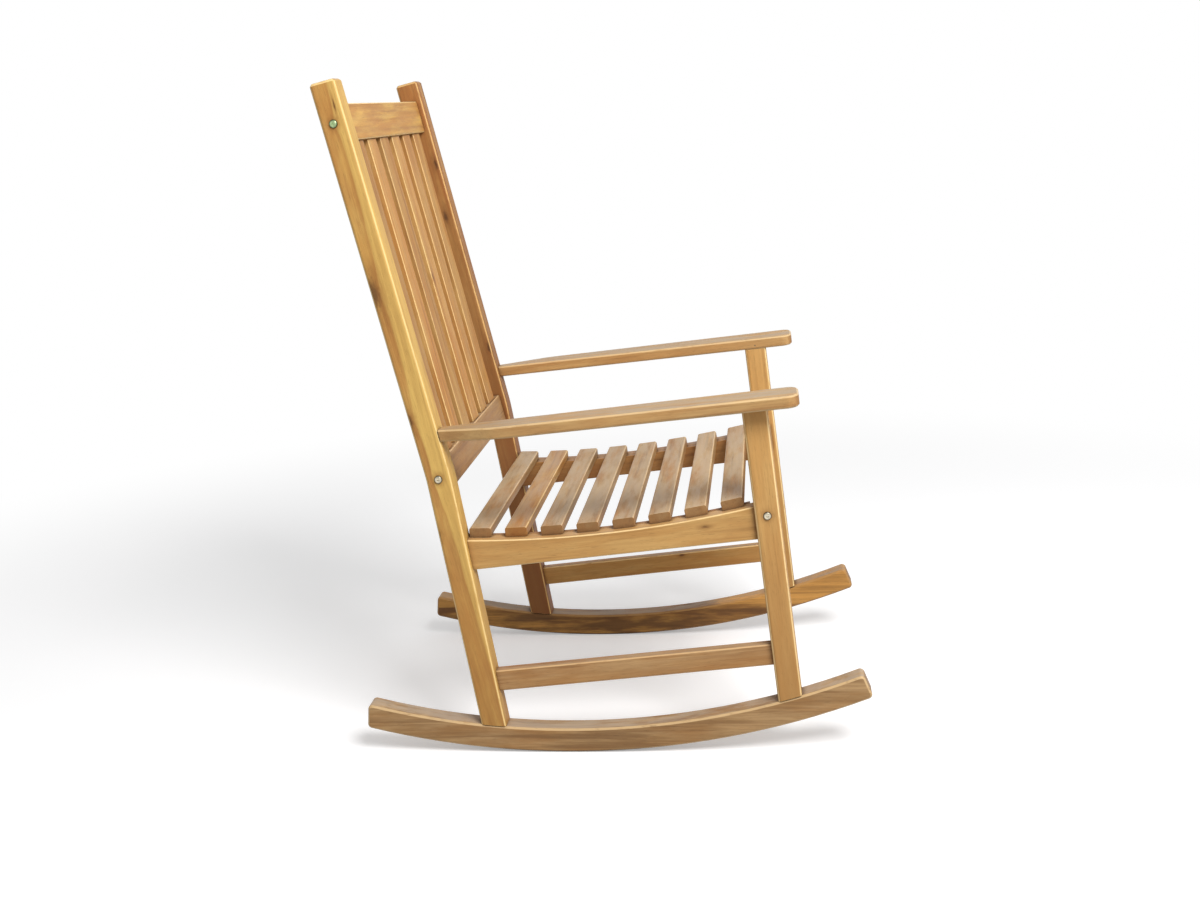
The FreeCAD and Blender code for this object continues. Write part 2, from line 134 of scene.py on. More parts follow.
def mixStep(tree, factor, first, second):
    step = tree.nodes.new("ShaderNodeMix")
    step.data_type = "RGBA"
    feed(tree, step.inputs[0], factor)
    feed(tree, step.inputs[6], first)
    feed(tree, step.inputs[7], second)
    return step.outputs[2]


def bumpStep(tree, height, strength, distance):
    step = tree.nodes.new("ShaderNodeBump")
    step.inputs["Strength"].default_value = strength
    step.inputs["Distance"].default_value = distance
    feed(tree, step.inputs["Height"], height)
    return step.outputs[0]


def newGroup(name, takes, gives):  # both name their sockets by kind
    group = bpy.data.node_groups.new(name, "ShaderNodeTree")
    for way, sockets in (("INPUT", takes), ("OUTPUT", gives)):
        for kind, labels in sockets.items():
            for label in labels:
                group.interface.new_socket(label, in_out=way, socket_type="NodeSocket" + kind)
    return group, group.nodes.new("NodeGroupInput").outputs, group.nodes.new("NodeGroupOutput").inputs


def placeGroup(tree, group, **values):
    step = tree.nodes.new("ShaderNodeGroup")
    step.node_tree = group
    for label, value in values.items():
        feed(tree, step.inputs[label], value)
    return step.outputs


# Wood: the board's own space has X along the grain and the heart of the tree at Y 0, Z 0

knotLook = {
    "rimScale": (110.0, 260.0, 260.0),  # waves per metre of the uneven rim
    "rimAmount": 1.3,
    "core": (0.8, 1.9),  # in sizes of the knot
    "halo": (1.2, 3.6),
    "swirlFade": -0.42,
    "swirl": 1.5,
}


def makeKnotGroup():
    takes = {"Vector": ["Board", "Centre"], "Float": ["Size", "Length"]}
    group, given, out = newGroup("knot", takes, {"Float": ["Core", "Halo", "Swirl"]})
    squeeze = group.nodes.new("ShaderNodeCombineXYZ")
    for socket, value in zip(squeeze.inputs, (mathStep(group, "DIVIDE", 1.0, given["Length"]), 1.0, 1.0)):
        feed(group, socket, value)
    away = vectorStep(group, "SUBTRACT", given["Board"], given["Centre"])
    stretched = vectorStep(group, "MULTIPLY", away, squeeze.outputs[0])
    distance = mathStep(group, "DIVIDE", vectorStep(group, "LENGTH", stretched), given["Size"])
    rim = noiseStep(group, vectorStep(group, "MULTIPLY", given["Board"], knotLook["rimScale"]))
    edge = mathStep(group, "ADD", distance, product(group, rim, knotLook["rimAmount"]))
    feed(group, out["Core"], opposite(group, softStep(group, edge, *knotLook["core"])))
    feed(group, out["Halo"], opposite(group, softStep(group, edge, *knotLook["halo"])))
    falling = mathStep(group, "EXPONENT", product(group, distance, knotLook["swirlFade"]))
    feed(group, out["Swirl"], product(group, falling, product(group, given["Size"], knotLook["swirl"])))
    return group


grainMasks = ["Rings", "Fibre", "Pores", "Tone", "Warmth", "Streak", "Sap"]
grainNoise = {  # waves per metre along and across the grain, detail, roughness
    "bend": (1.7, 8.0, 1.5, 0.5),
    "ripple": (5.0, 50.0, 3.0, 0.6),
    "patches": (7.0, 30.0, 2.0, 0.5),
    "coarse": (7.0, 130.0, 4.0, 0.62),
    "fine": (18.0, 700.0, 2.0, 0.6),
    "pores": (60.0, 1300.0, 1.0, 0.5),
    "tone": (7.0, 42.0, 4.0, 0.6),
    "warmth": (5.0, 26.0, 4.0, 0.62),
    "streak": (2.6, 75.0, 4.0, 0.64),
}
grainSteps = {  # where a value turns from 0 to 1
    "patches": (0.3, 0.62),
    "fibre": (0.36, 0.66),
    "pores": (0.62, 0.74),
    "tone": (0.38, 0.62),
    "warmth": (0.4, 0.64),
    "streak": (0.53, 0.68),
    "ringRise": (0.05, 0.7),
    "ringFall": (0.7, 1.0),
    "ringStrength": (0.34, 0.62),
}
grainLook = {
    "seedShares": (1.0, 0.37, 0.61),
    "ripple": 0.012,
    "sapEdge": 0.003,
    "unevenScale": 0.45,
    "uneven": 2.6,
    "coarseShare": 0.7,
    "warmthShift": (7.3, 2.1, 4.9),
}
acrossBoard = (0.0, 1.0, 1.0)


def makeGrainGroup():
    takes = {"Vector": ["Board"], "Float": ["Seed", "Ring Width", "Wander", "Sap Radius", "Swirl"]}
    group, given, out = newGroup("grain", takes, {"Float": grainMasks})
    shift = group.nodes.new("ShaderNodeCombineXYZ")
    for socket, share in zip(shift.inputs, grainLook["seedShares"]):
        feed(group, socket, product(group, given["Seed"], share))
    place = vectorStep(group, "ADD", given["Board"], shift.outputs[0])

    def stretchedNoise(kind, start=place, output="Fac"):
        lengthwise, crosswise, detail, roughness = grainNoise[kind]
        scaled = vectorStep(group, "MULTIPLY", start, (lengthwise, crosswise, crosswise))
        return noiseStep(group, scaled, detail, roughness, output)

    def spread(kind, value):
        return softStep(group, value, *grainSteps[kind])

    bend = vectorStep(group, "SUBTRACT", stretchedNoise("bend", output="Color"), (0.5, 0.5, 0.5))
    scale = group.nodes.new("ShaderNodeVectorMath")
    scale.operation = "SCALE"
    feed(group, scale.inputs[0], vectorStep(group, "MULTIPLY", bend, acrossBoard))
    feed(group, scale.inputs["Scale"], given["Wander"])
    bent = vectorStep(group, "ADD", given["Board"], scale.outputs[0])
    radius = vectorStep(group, "LENGTH", vectorStep(group, "MULTIPLY", bent, acrossBoard))
    radius = mathStep(group, "ADD", radius, given["Swirl"])
    ripple = product(group, stretchedNoise("ripple"), grainLook["ripple"])
    radius = mathStep(group, "ADD", radius, ripple)
    sapStart = mathStep(group, "ADD", given["Sap Radius"], grainLook["sapEdge"])
    feed(group, out["Sap"], softStep(group, radius, given["Sap Radius"], sapStart))

    count = mathStep(group, "DIVIDE", radius, given["Ring Width"])
    uneven = group.nodes.new("ShaderNodeTexNoise")
    uneven.noise_dimensions = "1D"
    uneven.inputs["Scale"].default_value = grainLook["unevenScale"]
    uneven.inputs["Detail"].default_value = 1.0
    feed(group, uneven.inputs["W"], mathStep(group, "ADD", count, given["Seed"]))
    count = mathStep(group, "ADD", count, product(group, uneven.outputs["Fac"], grainLook["uneven"]))
    share = mathStep(group, "FRACT", count)
    rise = spread("ringRise", share)
    fall = opposite(group, spread("ringFall", share))
    strength = spread("ringStrength", uneven.outputs["Fac"])
    patches = spread("patches", stretchedNoise("patches"))
    feed(group, out["Rings"], product(group, rise, fall, strength, patches))

    coarse = product(group, stretchedNoise("coarse"), grainLook["coarseShare"])
    fine = product(group, stretchedNoise("fine"), 1 - grainLook["coarseShare"])
    feed(group, out["Fibre"], spread("fibre", mathStep(group, "ADD", coarse, fine)))
    feed(group, out["Pores"], spread("pores", stretchedNoise("pores")))
    feed(group, out["Tone"], spread("tone", stretchedNoise("tone")))
    elsewhere = vectorStep(group, "ADD", place, grainLook["warmthShift"])
    feed(group, out["Warmth"], spread("warmth", stretchedNoise("warmth", elsewhere)))
    feed(group, out["Streak"], spread("streak", stretchedNoise("streak")))
    return group


edgeLook = {
    "corner": (0.15, 0.235),
    "patchScale": (38.0, 160.0, 160.0),
    "patchDetail": (3.0, 0.65),
    "patches": (0.2, 0.5),
    "end": (0.55, 0.9),
}


def makeEdgeGroup():  # painted highlight on the rounded edges: where the surface turns away from the flat face
    takes = {"Vector": ["Board", "Face", "Grain"]}
    group, given, out = newGroup("roundedEdge", takes, {"Float": ["Painted Highlight", "End"]})
    surface = group.nodes.new("ShaderNodeNewGeometry")
    facing = vectorStep(group, "DOT_PRODUCT", surface.outputs["Normal"], given["Face"])
    square = product(group, facing, facing)
    turned = product(group, square, opposite(group, square))
    corner = softStep(group, turned, *edgeLook["corner"])
    scaled = vectorStep(group, "MULTIPLY", given["Board"], edgeLook["patchScale"])
    patches = softStep(group, noiseStep(group, scaled, *edgeLook["patchDetail"]), *edgeLook["patches"])
    feed(group, out["Painted Highlight"], product(group, corner, patches))
    endways = vectorStep(group, "DOT_PRODUCT", surface.outputs["Normal"], given["Grain"])
    feed(group, out["End"], softStep(group, mathStep(group, "ABSOLUTE", endways), *edgeLook["end"]))
    return group


shadeSheenStainLook = {
    "samples": 6,
    "open": (0.3, 0.9),
    "upward": (0.6, 0.96),
    "patchScale": (8.0, 48.0, 48.0),
    "patchDetail": (4.0, 0.62),
    "patches": (0.3, 0.6),
    "unevenFoot": 0.24,
    "fullStainAndShade": 0.22,  # in heights of the low stain and painted shade
}


def makeShadeSheenStainGroup():  # painted shade in corners and gaps, painted sheen on faces that look at the sky, and darker feet near the ground, partly a stain and partly painted shade
    takes = {"Vector": ["Board", "Place"], "Float": ["Depth", "Stain And Shade Height"]}
    group, given, out = newGroup("paintedShadeSheenAndStain", takes, {"Float": ["Corner Shade", "Top", "Low Stain And Shade"]})
    occlusion = group.nodes.new("ShaderNodeAmbientOcclusion")
    occlusion.samples = shadeSheenStainLook["samples"]
    feed(group, occlusion.inputs["Distance"], given["Depth"])
    openness = softStep(group, occlusion.outputs["AO"], *shadeSheenStainLook["open"])
    feed(group, out["Corner Shade"], opposite(group, openness))
    normal = group.nodes.new("ShaderNodeSeparateXYZ")
    feed(group, normal.inputs[0], group.nodes.new("ShaderNodeNewGeometry").outputs["Normal"])
    upward = softStep(group, normal.outputs["Z"], *shadeSheenStainLook["upward"])
    scaled = vectorStep(group, "MULTIPLY", given["Board"], shadeSheenStainLook["patchScale"])
    patches = noiseStep(group, scaled, *shadeSheenStainLook["patchDetail"])
    feed(group, out["Top"], product(group, upward, softStep(group, patches, *shadeSheenStainLook["patches"])))
    place = group.nodes.new("ShaderNodeSeparateXYZ")
    feed(group, place.inputs[0], given["Place"])
    height = mathStep(group, "ADD", place.outputs["Z"], product(group, patches, shadeSheenStainLook["unevenFoot"]))
    full = product(group, given["Stain And Shade Height"], shadeSheenStainLook["fullStainAndShade"])
    feed(group, out["Low Stain And Shade"], opposite(group, softStep(group, height, full, given["Stain And Shade Height"])))
    return group


finishLook = {  # how strongly each mask shows
    "sapPale": 0.9,
    "patches": 0.85,
    "patchesInSap": 0.6,  # less
    "thinFibre": 0.42,
    "end": 0.65,
    "pores": 0.3,
    "halo": 0.6,
    "core": 0.75,
    # strength of the painted shade in corners and gaps
    "corner": 0.68,
    "roughness": 0.5,
    "roughFibre": 0.1,
    "roughCorner": 0.2,
    "smoothTop": 0.08,
    "smoothHighlight": 0.1,
    "ringHeight": -0.5,
}
# the last two tones colour the painted sheen on tops and the painted highlight on edges
toneNames = ["Pale", "Main", "Warm", "Deep", "Dark", "Sheen", "Glint"]


def makeWoodColourGroup():
    surfaceMasks = ["Core", "Halo", "Painted Highlight", "End", "Corner Shade", "Top", "Low Stain And Shade"]
    amounts = ["Contrast", "Ring Contrast", "Sheen Amount", "Stain And Shade", "Painted Highlight Amount"]
    takes = {"Float": grainMasks + surfaceMasks + amounts, "Color": toneNames}
    gives = {"Color": ["Colour"], "Float": ["Roughness", "Height"]}
    group, given, out = newGroup("woodFinish", takes, gives)

    def layer(under, tone, mask, strength):  # strength is a number or a socket
        return mixStep(group, product(group, mask, strength), under, given[tone])

    def capped(mask):
        return mathStep(group, "MINIMUM", mask, 1.0)

    light = product(group, given["Tone"], given["Contrast"])
    light = mathStep(group, "MAXIMUM", light, product(group, given["Sap"], finishLook["sapPale"]))
    colour = mixStep(group, light, given["Main"], given["Pale"])
    fromSap = product(group, given["Sap"], finishLook["patchesInSap"])
    patches = mathStep(group, "SUBTRACT", finishLook["patches"], fromSap)
    colour = layer(colour, "Warm", product(group, given["Warmth"], patches), given["Contrast"])
    colour = layer(colour, "Deep", product(group, given["Streak"], patches), given["Contrast"])
    colour = layer(colour, "Deep", given["Rings"], given["Ring Contrast"])
    thin = product(group, opposite(group, given["Fibre"]), finishLook["thinFibre"])
    colour = layer(colour, "Deep", thin, given["Contrast"])
    colour = layer(colour, "Deep", given["End"], finishLook["end"])
    colour = layer(colour, "Dark", given["Pores"], finishLook["pores"])
    # darker towards the feet: partly a stain, partly painted shade on the lower parts
    colour = layer(colour, "Deep", given["Low Stain And Shade"], given["Stain And Shade"])
    # painted sheen: faces that look up turn grey as if reflecting the white room
    colour = layer(colour, "Sheen", given["Top"], given["Sheen Amount"])
    colour = layer(colour, "Deep", capped(given["Halo"]), finishLook["halo"])
    colour = layer(colour, "Dark", capped(given["Core"]), finishLook["core"])
    # painted highlight along the rounded edges
    colour = layer(colour, "Glint", given["Painted Highlight"], given["Painted Highlight Amount"])
    # painted shade in corners, joints and gaps, read from ambient occlusion
    colour = layer(colour, "Dark", given["Corner Shade"], finishLook["corner"])
    feed(group, out["Colour"], colour)

    rough = finishLook["roughness"]
    changes = [
        ("ADD", "Fibre", "roughFibre"),
        ("ADD", "Corner Shade", "roughCorner"),
        ("SUBTRACT", "Top", "smoothTop"),
        ("SUBTRACT", "Painted Highlight", "smoothHighlight"),
    ]
    for operation, mask, amount in changes:
        rough = mathStep(group, operation, rough, product(group, given[mask], finishLook[amount]))
    feed(group, out["Roughness"], rough)
    height = mathStep(group, "ADD", given["Fibre"], product(group, given["Rings"], finishLook["ringHeight"]))
    feed(group, out["Height"], mathStep(group, "SUBTRACT", height, given["Pores"]))
    return group


knotGroup = makeKnotGroup()
grainGroup = makeGrainGroup()
edgeGroup = makeEdgeGroup()
shadeSheenStainGroup = makeShadeSheenStainGroup()
woodGroup = makeWoodColourGroup()

woodTones = {  # in the order of toneNames; the last two are the colours of the painted sheen and the painted highlight
    "golden": [
        (236, 196, 110), (200, 148, 82), (200, 140, 70), (158, 106, 54),
        (92, 58, 32), (200, 176, 144), (255, 224, 156),
    ],
    "straw": [
        (220, 178, 112), (206, 158, 94), (200, 146, 82), (160, 114, 64),
        (92, 60, 34), (200, 176, 144), (255, 226, 166),
    ],
    "honey": [
        (212, 168, 102), (196, 146, 82), (190, 130, 66), (150, 98, 50),
        (86, 56, 32), (196, 174, 144), (250, 216, 154),
    ],
    "amber": [
        (196, 148, 86), (178, 128, 70), (168, 106, 54), (130, 82, 44),
        (76, 48, 28), (180, 156, 126), (232, 190, 124),
    ],
    "russet": [
        (188, 138, 82), (160, 112, 62), (152, 96, 50), (116, 74, 38),
        (68, 42, 24), (168, 144, 116), (206, 160, 104),
    ],
    "brown": [
        (196, 158, 110), (186, 144, 94), (174, 124, 72), (136, 94, 56),
        (74, 50, 32), (184, 166, 142), (220, 184, 134),
    ],
    "olive": [
        (194, 158, 112), (168, 132, 88), (160, 114, 66), (116, 84, 52),
        (66, 46, 30), (184, 168, 148), (212, 180, 132),
    ],
    "sanded": [
        (212, 174, 116), (192, 150, 96), (188, 138, 82), (148, 104, 62),
        (86, 60, 38), (174, 154, 126), (240, 212, 162),
    ],
    "umber": [
        (226, 166, 88), (126, 90, 52), (112, 72, 38), (84, 56, 32),
        (50, 34, 22), (150, 130, 106), (176, 134, 84),
    ],
    "weathered": [
        (198, 162, 112), (174, 138, 92), (184, 130, 74), (138, 102, 64),
        (80, 60, 44), (192, 170, 138), (222, 194, 150),
    ],
}
boardLook = {  # what a board has where its own plan says nothing else
    "knots": [],  # place, size and length in sizes
    "ringWidth": 0.011,
    "wander": 0.03,
    "sap": 0.2,  # distance from the tree's heart at which the pale sapwood starts
    # reach of the painted corner shade
    "depth": 0.012,
    # below this height it turns darker: partly a stain, partly painted shade
    "stainAndShadeHeight": 0.62,
    "contrast": 0.6,
    "ringContrast": 0.35,
    # strength of the painted sheen on faces that look up
    "sheen": 0.3,
    # how strongly the low stain and painted shade darken
    "stainAndShade": 0.0,
    # strength of the painted highlight on edges
    "paintedHighlight": 0.75,
    "variety": 0.03,  # share by which a piece may be lighter or darker
}
heartDistances = (0.035, 0.09)
highestSeed = 40
oil = {"bump": 0.3, "bumpDistance": 0.0004, "specular": 0.25, "coat": 0.03, "coatRoughness": 0.3}


def woodMaterial(name, grain, face, middle, board):
    material = bpy.data.materials.new(name)
    material.use_nodes = True
    tree = material.node_tree
    shader = tree.nodes["Principled BSDF"]
    chance = random.Random(name)
    turned = Vector((1, 0, 0)).rotation_difference(grain).to_matrix()
    anySide = Matrix.Rotation(chance.uniform(0, 2 * math.pi), 3, grain) @ grain.orthogonal().normalized()
    anyDistance = chance.uniform(*heartDistances)
    origin = middle + Vector(board.get("toHeart", anySide)) * board.get("heart", anyDistance)

    place = tree.nodes.new("ShaderNodeTexCoord").outputs["Object"]
    mapping = tree.nodes.new("ShaderNodeMapping")
    mapping.vector_type = "TEXTURE"
    mapping.inputs["Location"].default_value = origin
    mapping.inputs["Rotation"].default_value = turned.to_euler()
    tree.links.new(place, mapping.inputs["Vector"])
    local = mapping.outputs[0]

    found = {"Core": 0.0, "Halo": 0.0, "Swirl": 0.0}
    for knotPlace, size, length in board["knots"]:
        centre = turned.transposed() @ (Vector(knotPlace) - origin)
        knot = placeGroup(tree, knotGroup, Board=local, Centre=centre, Size=size, Length=length)
        for label in found:
            found[label] = mathStep(tree, "ADD", found[label], knot[label])

    grainValues = {
        "Board": local,
        "Seed": chance.uniform(0, highestSeed),
        "Ring Width": board["ringWidth"],
        "Wander": board["wander"],
        "Sap Radius": board["sap"],
        "Swirl": found["Swirl"],
    }
    grainOut = placeGroup(tree, grainGroup, **grainValues)
    edge = placeGroup(tree, edgeGroup, Board=local, Face=face, Grain=grain)
    shadeSheenStainValues = {
        "Board": local,
        "Place": place,
        "Depth": board["depth"],
        "Stain And Shade Height": board["stainAndShadeHeight"],
    }
    shadeSheenStain = placeGroup(tree, shadeSheenStainGroup, **shadeSheenStainValues)
    finish = {
        "Core": found["Core"],
        "Halo": found["Halo"],
        "Painted Highlight": edge["Painted Highlight"],
        "End": edge["End"],
        "Corner Shade": shadeSheenStain["Corner Shade"],
        "Top": shadeSheenStain["Top"],
        "Low Stain And Shade": shadeSheenStain["Low Stain And Shade"],
        "Contrast": board["contrast"],
        "Ring Contrast": board["ringContrast"],
        "Sheen Amount": board["sheen"],
        "Stain And Shade": board["stainAndShade"],
        "Painted Highlight Amount": board["paintedHighlight"],
    }
    for label in grainMasks:
        finish[label] = grainOut[label]
    lighter = 1 + board["variety"] * chance.uniform(-1, 1)
    for label, shade in zip(toneNames, woodTones[board["tone"]]):
        finish[label] = tint(*[min(255, c * lighter) for c in shade])
    wood = placeGroup(tree, woodGroup, **finish)
    tree.links.new(wood["Colour"], shader.inputs["Base Color"])
    tree.links.new(wood["Roughness"], shader.inputs["Roughness"])
    bump = bumpStep(tree, wood["Height"], oil["bump"], oil["bumpDistance"])
    tree.links.new(bump, shader.inputs["Normal"])
    shader.inputs["Specular IOR Level"].default_value = oil["specular"]
    shader.inputs["Coat Weight"].default_value = oil["coat"]
    shader.inputs["Coat Roughness"].default_value = oil["coatRoughness"]
    return material


# Edges of the sawn pieces: joined faces, a small round on every corner, even shading

edgeRound = {"join": 0.00002, "width": 0.0006, "segments": 2, "sharperThan": 28, "weight": 90}


def makeSmoothGroup():
    group = bpy.data.node_groups.new("smoothFaces", "GeometryNodeTree")
    group.interface.new_socket("Geometry", in_out="INPUT", socket_type="NodeSocketGeometry")
    group.interface.new_socket("Geometry", in_out="OUTPUT", socket_type="NodeSocketGeometry")
    start = group.nodes.new("NodeGroupInput")
    merge = group.nodes.new("GeometryNodeMergeByDistance")
    merge.inputs["Distance"].default_value = edgeRound["join"]
    forget = group.nodes.new("GeometryNodeRemoveAttribute")
    forget.inputs["Name"].default_value = "custom_normal"
    faces = group.nodes.new("GeometryNodeSetShadeSmooth")
    faces.domain = "FACE"
    edges = group.nodes.new("GeometryNodeSetShadeSmooth")
    edges.domain = "EDGE"
    end = group.nodes.new("NodeGroupOutput")
    chain = [start, merge, forget, faces, edges, end]
    for first, second in zip(chain, chain[1:]):
        group.links.new(first.outputs[0], second.inputs[0])
    return group


smoothGroup = makeSmoothGroup()


def softenEdges(item):
    join = item.modifiers.new("joinFaces", "NODES")
    join.node_group = smoothGroup
    bevel = item.modifiers.new("smallRound", "BEVEL")
    bevel.width = edgeRound["width"]
    bevel.segments = edgeRound["segments"]
    bevel.limit_method = "ANGLE"
    bevel.angle_limit = math.radians(edgeRound["sharperThan"])
    bevel.loop_slide = False
    bevel.use_clamp_overlap = False
    bevel.miter_outer = "MITER_SHARP"
    shade = item.modifiers.new("evenShading", "WEIGHTED_NORMAL")
    shade.mode = "FACE_AREA"
    shade.weight = edgeRound["weight"]


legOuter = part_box("front_leg_left")[1].x
boltRows = {"topBolt": "top_back_rail", "seatBolt": "lower_back_rail", "legBolt": "front_seat_rail"}
boltRing = (0.0058, 1.1)  # size and length of the dark ring painted round a head


def boltPlace(label, sign):  # on the outer face of the leg or post, in line with its rail's middle
    low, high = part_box(boltRows[label])
    return Vector((sign * legOuter, (low.y + high.y) / 2, (low.z + high.z) / 2))


# a dark ring painted round each bolt head, drawn as a knot mark
def boltRings(nodeName):
    kind, side = nodeName.rsplit("_", 1)
    rows = {"rear_post": ("topBolt", "seatBolt"), "front_leg": ("legBolt",)}.get(kind, ())
    return [(boltPlace(label, 1 if side == "left" else -1), *boltRing) for label in rows]


def dress(nodeName, grain, face, plan):
    item = nodes[nodeName]
    low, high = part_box(nodeName)
    board = {**boardLook, **plan, **plan.get(nodeName, {})}
    board["knots"] = board["knots"] + boltRings(nodeName)
    material = woodMaterial(nodeName + "Wood", grain, face, (low + high) / 2, board)
    for slot in item.material_slots:
        slot.material = material
    softenEdges(item)


def leaned(degrees):  # an upright direction leaned to the rear
    angle = math.radians(degrees)
    return Vector((0, math.sin(angle), math.cos(angle)))


def sloped(degrees):  # a level direction from rear to front, rising to the front
    angle = math.radians(degrees)
    return Vector((0, -math.cos(angle), math.sin(angle)))


across = Vector((1, 0, 0))
chairTilt = 5.4  # degrees that the resting chair is rocked back

# Side frames
uprights = {
    "rear_post": {
        "lean": 11.0,
        "tone": "golden",
        "rear_post_right": {
            "stainAndShade": 0.45,
            "sap": 0.079,
            "heart": 0.058,
            "toHeart": (0, 1, 0),
            "knots": [
                ((-0.303, 0.398, 1.124), 0.0013, 9.0),
                ((-0.303, 0.36, 0.82), 0.0095, 3.0),
                ((-0.303, 0.318, 0.602), 0.006, 2.6),
                ((-0.303, 0.286, 0.407), 0.004, 3.0),
                ((-0.303, 0.187, 0.085), 0.007, 3.4),
            ],
        },
        # the far post: a darker tone and a darkening that reaches up its whole height, partly painted shade
        "rear_post_left": {
            "tone": "amber",
            "contrast": 1.0,
            "stainAndShade": 0.85,
            "stainAndShadeHeight": 1.35,
            "knots": [
                ((0.26, 0.368, 1.004), 0.0045, 2.4),
                ((0.26, 0.356, 0.899), 0.005, 2.6),
                ((0.26, 0.287, 0.631), 0.005, 3.0),
            ],
        },
    },
    "front_leg": {
        "lean": chairTilt,
        "tone": "straw",
        "contrast": 0.5,
        "stainAndShade": 0.6,
        "front_leg_left": {"contrast": 0.35, "knots": [((0.303, -0.287, 0.408), 0.002, 2.0)]},
    },
}
for nodeKind, plan in uprights.items():
    for side in ("left", "right"):
        dress("%s_%s" % (nodeKind, side), leaned(plan["lean"]), across, plan)
print("posts and legs")

lengthwise = {
    "armrest": {"slope": 4.7, "tone": "sanded", "sheen": 0.75, "contrast": 0.75, "paintedHighlight": 0.5},
    "seat_side_rail": {
        "slope": chairTilt,
        "tone": "straw",
        "ringContrast": 0.2,
        "seat_side_rail_right": {"knots": [((-0.29, -0.1686, 0.4052), 0.003, 2.6)]},
        # the far rail's darker russet tone paints in part the shade on its inner face
        "seat_side_rail_left": {"tone": "russet", "contrast": 0.8},
    },
    "side_stretcher": {
        "slope": chairTilt,
        "tone": "brown",
        "contrast": 0.9,
        "side_stretcher_left": {
            "tone": "honey",
            "contrast": 0.7,
            "knots": [((0.2705, -0.0913, 0.1737), 0.003, 2.0)],
        },
    },
    # the battens' darker russet tone paints in part the shade under the slats
    "seat_batten": {"slope": chairTilt, "tone": "russet"},
    "rocker": {
        "slope": 0.0,
        "tone": "olive",
        "contrast": 0.75,
        "ringContrast": 0.7,
        "sheen": 0.6,
        "toHeart": (0, 0, -1),
        "heart": 0.15,
        # on the far rocker the dark umber main paints in part the shade on its middle, and its lightened
        # pale sapwood at the ends paints in part the light on the front end
        "rocker_left": {"tone": "umber", "ringContrast": 0.5, "sap": 0.155},
    },
}
for nodeKind, plan in lengthwise.items():
    face = sloped(plan["slope"]).cross(across) if nodeKind == "armrest" else across
    for side in ("left", "right"):
        dress("%s_%s" % (nodeKind, side), sloped(plan["slope"]), face, plan)
print("arms, rails, stretchers and rockers")

# Back
backLean = 11.8
backFace = across.cross(leaned(backLean))
backSlat = {
    "count": 6,
    "tone": "honey",
    "ringWidth": 0.009,
    "contrast": 0.8,
    # deeper painted shade in the gaps between the slats
    "depth": 0.06,
    "variety": 0.06,
    "back_slat_4": {"knots": [((0.022, 0.3356, 0.806), 0.0045, 2.4)]},
}
for number in range(1, backSlat["count"] + 1):
    dress("back_slat_%d" % number, leaned(backLean), backFace, backSlat)
backRail = {
    "top_back_rail": {"tone": "golden"},
    "lower_back_rail": {"tone": "brown", "contrast": 0.75},
}
for nodeName in ("top_back_rail", "lower_back_rail"):
    dress(nodeName, across, backFace, backRail)
dress("front_seat_rail", across, across.cross(leaned(chairTilt)), {"tone": "honey"})
print("back")

# Seat
seatSlat = {
    "count": 8,
    "tone": "weathered",
    "sheen": 0.65,
    "contrast": 0.95,
    "variety": 0.05,
    "seat_slat_7": {"tone": "honey", "sheen": 0.4},
}


def seatMiddle(number):
    low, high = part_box("seat_slat_%d" % number)
    return (low + high) / 2


for number in range(1, seatSlat["count"] + 1):
    ahead = seatMiddle(max(number - 1, 1))
    behind = seatMiddle(min(number + 1, seatSlat["count"]))
    dress("seat_slat_%d" % number, across, across.cross(behind - ahead).normalized(), seatSlat)
print("seat")


# Fasteners

steelLook = {
    "fineScale": (900.0, 900.0, 900.0),
    "fineDetail": 3.0,
    "patchScale": (160.0, 160.0, 160.0),
    "patches": (0.35, 0.7),
    "patchShade": 0.62,
    "rim": (0.62, 0.98),  # in head radii
    "rimShade": 0.16,
    "unevenGloss": 0.18,
    "bump": 0.2,
    "bumpDistance": 0.0002,
}


def steelMaterial(name, colour, roughness, headRadius=0.0):
    material = bpy.data.materials.new(name)
    material.use_nodes = True
    tree = material.node_tree
    shader = tree.nodes["Principled BSDF"]
    place = tree.nodes.new("ShaderNodeTexCoord").outputs["Object"]
    fineScaled = vectorStep(tree, "MULTIPLY", place, steelLook["fineScale"])
    fine = noiseStep(tree, fineScaled, steelLook["fineDetail"])
    patchScaled = vectorStep(tree, "MULTIPLY", place, steelLook["patchScale"])
    patches = softStep(tree, noiseStep(tree, patchScaled), *steelLook["patches"])
    shown = mixStep(tree, patches, colour, shaded(colour, steelLook["patchShade"]))
    if headRadius:  # painted shade towards the rim of the head
        fromAxis = vectorStep(tree, "LENGTH", vectorStep(tree, "MULTIPLY", place, (1.0, 1.0, 0.0)))
        start, end = steelLook["rim"]
        rim = softStep(tree, fromAxis, start * headRadius, end * headRadius)
        shown = mixStep(tree, rim, shown, shaded(colour, steelLook["rimShade"]))
    tree.links.new(shown, shader.inputs["Base Color"])
    rough = mathStep(tree, "ADD", roughness, product(tree, fine, steelLook["unevenGloss"]))
    tree.links.new(rough, shader.inputs["Roughness"])
    bump = bumpStep(tree, fine, steelLook["bump"], steelLook["bumpDistance"])
    tree.links.new(bump, shader.inputs["Normal"])
    shader.inputs["Metallic"].default_value = 1.0
    return material


bolts = {
    "sides": 48,
    "shankRadius": 0.003,
    "headRadius": 0.0068,
    "headHeight": 0.0034,
    "rim": 0.0007,
    "domeSteps": 9,
    "socketRadius": 0.0019,
    "flatTop": (1.35, 1.3),  # from where to where, in socket radii
    "socket": ((0.0002, 1.06), (0.0004, 1.0), (0.002, 1.0)),  # depths and widths of its mouth and floor
    "nutThickness": 0.005,
    "sharperThan": 40,
}
nutPlate = steelMaterial("nutZinc", tint(200, 198, 192), 0.28)
